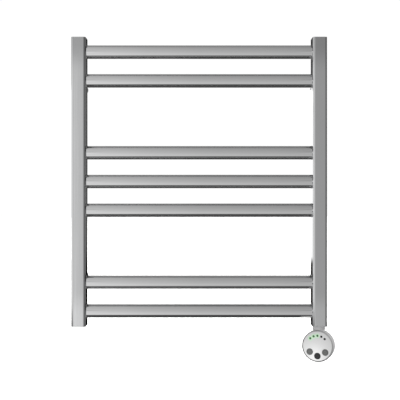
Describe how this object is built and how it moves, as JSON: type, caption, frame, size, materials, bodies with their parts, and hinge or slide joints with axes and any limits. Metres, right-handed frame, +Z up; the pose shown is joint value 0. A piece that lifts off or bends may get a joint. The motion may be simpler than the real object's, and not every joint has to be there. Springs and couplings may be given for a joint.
{
  "type": "heated towel rail",
  "caption": "Electric ladder towel rail with round rungs between two flat uprights, on adjustable wall posts, with a round swivelling control head under one upright.",
  "frame": {"origin": "centre of the four wall screws, on the wall's face", "axes": "+X to the right seen from the room, +Y into the wall, +Z up"},
  "size_m": [0.5486, 0.0939, 0.674],
  "materials": {
    "chrome_tube": "mirror-polished chrome plating",
    "chrome_trim": "satin chrome trim",
    "plain_steel": "plain zinc-plated steel",
    "plated_plug": "nickel-plated brass",
    "brass_bush": "machined brass",
    "black_rubber": "matt black rubber",
    "white_ceramic": "unglazed white ceramic",
    "silver_plastic": "satin silver paint on plastic",
    "button_grey": "satin dark grey plastic",
    "button_black": "glossy black plastic",
    "lamp_green": "clear green lamp, lit",
    "lamp_dark": "smoked lamp, unlit",
    "board_green": "green lacquer on glass-fibre board",
    "part_black": "moulded black plastic",
    "part_grey": "moulded grey plastic",
    "gland_black": "moulded black nylon"
  },
  "bodies": {
    "wall_mounts": {"grub_screw_1": "plain_steel", "grub_screw_2": "plain_steel", "grub_screw_3": "plain_steel", "grub_screw_4": "plain_steel", "wall_post_1": "chrome_tube", "wall_post_2": "chrome_tube", "wall_post_3": "chrome_tube", "wall_post_4": "chrome_tube"},
    "rack": {"blank_plug": "plated_plug", "bottom_cap_left": "chrome_tube", "bottom_cap_right": "chrome_tube", "bracket_stem_1": "chrome_tube", "bracket_stem_2": "chrome_tube", "bracket_stem_3": "chrome_tube", "bracket_stem_4": "chrome_tube", "bush_gasket": "black_rubber", "element_bush": "brass_bush", "element_core": "white_ceramic", "element_sheath": "plain_steel", "neck_collar": "chrome_trim", "plug_ring": "black_rubber", "rung_1": "chrome_tube", "rung_2": "chrome_tube", "rung_3": "chrome_tube", "rung_4": "chrome_tube", "rung_5": "chrome_tube", "rung_6": "chrome_tube", "rung_7": "chrome_tube", "stem_nut_1": "plain_steel", "stem_nut_2": "plain_steel", "stem_nut_3": "plain_steel", "stem_nut_4": "plain_steel", "swivel_ring": "plain_steel", "top_cap_left": "chrome_tube", "top_cap_right": "chrome_tube", "upright_left": "chrome_tube", "upright_right": "chrome_tube"},
    "head": {"board_screw_1": "plain_steel", "board_screw_2": "plain_steel", "board_screw_3": "plain_steel", "cable_gland": "gland_black", "circuit_board": "board_green", "gland_nut": "gland_black", "head_bezel": "chrome_trim", "head_casing": "silver_plastic", "head_face": "silver_plastic", "head_seal": "black_rubber", "lamp_1": "lamp_green", "lamp_2": "lamp_green", "lamp_3": "lamp_green", "lamp_4": "lamp_dark", "lamp_5": "lamp_dark", "relay": "part_black", "switch_centre": "part_black", "switch_left": "part_black", "switch_right": "part_black", "terminal_block": "part_grey"},
    "left_button": {"button_left": "button_grey"},
    "centre_button": {"button_centre": "button_black"},
    "right_button": {"button_right": "button_grey"}
  },
  "joints": [
    {"name": "wall_distance", "type": "slide", "parent": "wall_mounts", "child": "rack", "axis": [0, -1, 0], "range_m": [-0.005, 0.01]},
    {"name": "head_swivel", "type": "hinge", "parent": "rack", "child": "head", "pos_m": [0.25, -0.07, -0.341], "axis": [0, 0, 1], "range_deg": [-130, 170]},
    {"name": "left_press", "type": "slide", "parent": "head", "child": "left_button", "axis": [0.342, 0.9397, 0], "range_m": [0, 0.0008], "stiffness_N_per_m": 800},
    {"name": "centre_press", "type": "slide", "parent": "head", "child": "centre_button", "axis": [0.342, 0.9397, 0], "range_m": [0, 0.0008], "stiffness_N_per_m": 800},
    {"name": "right_press", "type": "slide", "parent": "head", "child": "right_button", "axis": [0.342, 0.9397, 0], "range_m": [0, 0.0008], "stiffness_N_per_m": 800}
  ]
}
